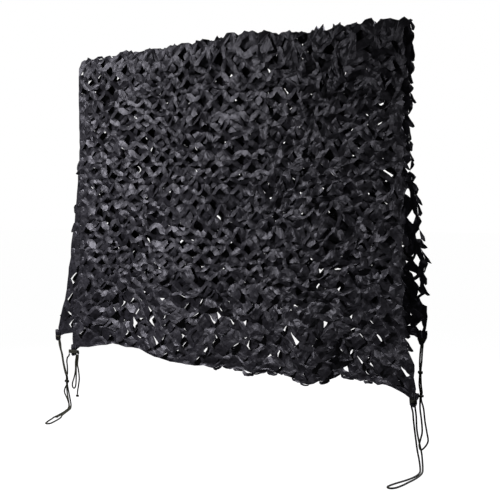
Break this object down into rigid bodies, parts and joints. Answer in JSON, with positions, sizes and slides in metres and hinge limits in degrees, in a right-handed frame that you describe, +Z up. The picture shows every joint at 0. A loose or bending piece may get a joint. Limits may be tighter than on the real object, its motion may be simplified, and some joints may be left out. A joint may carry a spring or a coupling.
{
  "type": "camouflage net",
  "caption": "Dark leaf-cut camouflage net hung folded over a line, with a shorter back layer and cord ties at its bottom corners.",
  "frame": {"origin": "the middle of the line that the net hangs from, just under its top fold", "axes": "+X along the line, to the right seen from the front; +Y from the front layer to the back one; +Z up"},
  "size_m": [2.4082, 0.478, 1.8726],
  "materials": {
    "net_cloth": "thin matt black polyester cloth with a faint bluish-grey sheen",
    "tie_cord": "dark olive braided cord"
  },
  "bodies": {
    "root": {"net": "net_cloth", "knot_front_left": "tie_cord", "knot_back_left": "tie_cord", "knot_front_right": "tie_cord", "knot_back_right": "tie_cord", "knot_join_left": "tie_cord", "knot_slide_right": "tie_cord", "knot_low_right": "tie_cord", "knot_end_left": "tie_cord", "knot_end_floor": "tie_cord", "tie_back_left": "tie_cord", "tie_side_left": "tie_cord", "tie_loop_left": "tie_cord", "tie_end_left": "tie_cord", "tie_front_right": "tie_cord", "tie_back_right": "tie_cord"}
  },
  "joints": []
}
